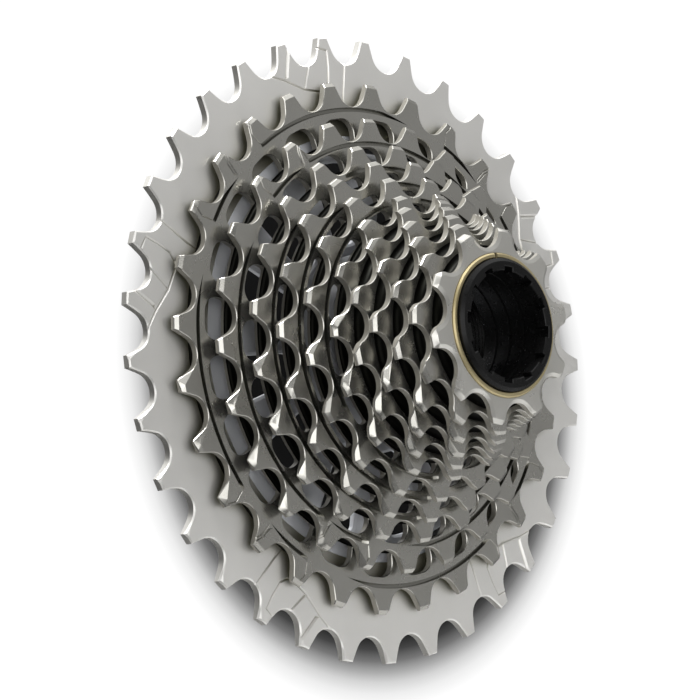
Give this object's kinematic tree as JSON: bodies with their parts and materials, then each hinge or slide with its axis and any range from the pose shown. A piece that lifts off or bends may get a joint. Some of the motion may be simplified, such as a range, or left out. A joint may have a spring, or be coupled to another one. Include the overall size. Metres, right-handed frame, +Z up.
{
  "type": "cassette sprocket",
  "caption": "Bicycle rear cassette: a stepped stack of toothed sprockets on a splined carrier, with a threaded lock tube that turns in its small end.",
  "frame": {"origin": "centre of the hub bore, in the plane of the back face that seats against the driver's shoulder", "axes": "+Y along the wheel axis towards the spokes, so the small end faces -Y; +Z up; +X to the right of someone who faces the small end"},
  "size_m": [0.1367, 0.0439, 0.1367],
  "materials": {
    "ring_alloy": "fine bead-blasted satin, pale warm grey",
    "cluster_steel": "satin nickel-plated hardened steel, warm grey",
    "carrier_alloy": "satin cool grey with bright machined bevels",
    "pin_steel": "turned steel pin ends",
    "rivet_alloy": "pressed aluminium rivets",
    "bush_brass": "turned brass, lightly worn",
    "clip_steel": "blued spring steel",
    "tube_black": "hard black anodised",
    "seal_rubber": "matte black rubber"
  },
  "bodies": {
    "cassette": {"sprocket_33t": "ring_alloy", "sprocket_28t": "cluster_steel", "sprocket_24t": "cluster_steel", "sprocket_21t": "cluster_steel", "sprocket_19t": "cluster_steel", "sprocket_17t": "cluster_steel", "sprocket_15t": "cluster_steel", "sprocket_14t": "cluster_steel", "sprocket_13t": "cluster_steel", "sprocket_12t": "cluster_steel", "sprocket_11t": "cluster_steel", "sprocket_10t": "cluster_steel", "carrier": "carrier_alloy", "cluster_pins": "pin_steel", "carrier_rivets": "rivet_alloy", "tube_bush": "bush_brass", "thrust_washer": "clip_steel"},
    "lock_tube": {"lock_tube": "tube_black", "retaining_ring": "clip_steel", "o_ring": "seal_rubber"}
  },
  "joints": [
    {"name": "lock_tube_spin", "type": "hinge", "parent": "cassette", "child": "lock_tube", "pos_m": [0, -0.03, 0], "axis": [0, 1, 0], "continuous": true}
  ]
}
